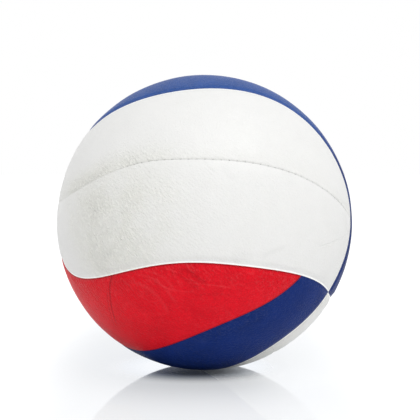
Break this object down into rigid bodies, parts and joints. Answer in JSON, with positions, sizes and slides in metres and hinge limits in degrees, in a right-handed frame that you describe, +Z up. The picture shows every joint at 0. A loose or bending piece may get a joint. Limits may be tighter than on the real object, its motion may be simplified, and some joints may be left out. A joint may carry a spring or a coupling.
{
  "type": "volleyball",
  "caption": "Inflated stitched leather volleyball with swirling white, red and blue panels, and a needle valve at the back.",
  "frame": {"origin": "centre of the ball", "axes": "+Z up as the ball lies in use, +X to the viewer's right and -Y towards the viewer, so that the front white panel faces -Y; the valve is at the back, a little below the middle"},
  "size_m": [0.2097, 0.2096, 0.2098],
  "materials": {
    "white_leather": "smooth leather with a fine grain, satin",
    "red_leather": "smooth leather with a fine grain, satin",
    "blue_leather": "smooth leather with a fine grain, satin",
    "lining_cloth": "layered cotton cloth, matte",
    "seam_thread": "waxed polyester thread",
    "bladder_rubber": "moulded butyl rubber, matte",
    "valve_rubber": "moulded rubber, matte",
    "plug_rubber": "soft moulded rubber, matte",
    "patch_cloth": "woven cotton patch, matte"
  },
  "bodies": {
    "root": {"front_white_panel": "white_leather", "upper_white_panel": "white_leather", "back_white_panel": "white_leather", "lower_white_panel": "white_leather", "front_red_panel": "red_leather", "back_red_panel": "red_leather", "lower_blue_panel": "blue_leather", "upper_blue_panel": "blue_leather", "front_white_lining": "lining_cloth", "upper_white_lining": "lining_cloth", "back_white_lining": "lining_cloth", "lower_white_lining": "lining_cloth", "front_red_lining": "lining_cloth", "back_red_lining": "lining_cloth", "lower_blue_lining": "lining_cloth", "upper_blue_lining": "lining_cloth", "front_seam_thread": "seam_thread", "back_seam_thread": "seam_thread", "upper_seam_thread": "seam_thread", "lower_seam_thread": "seam_thread", "front_white_mid_thread": "seam_thread", "back_white_mid_thread": "seam_thread", "front_red_blue_thread": "seam_thread", "back_red_blue_thread": "seam_thread", "bladder": "bladder_rubber", "valve_stem": "valve_rubber", "valve_plug": "plug_rubber", "valve_patch": "patch_cloth"}
  },
  "joints": []
}
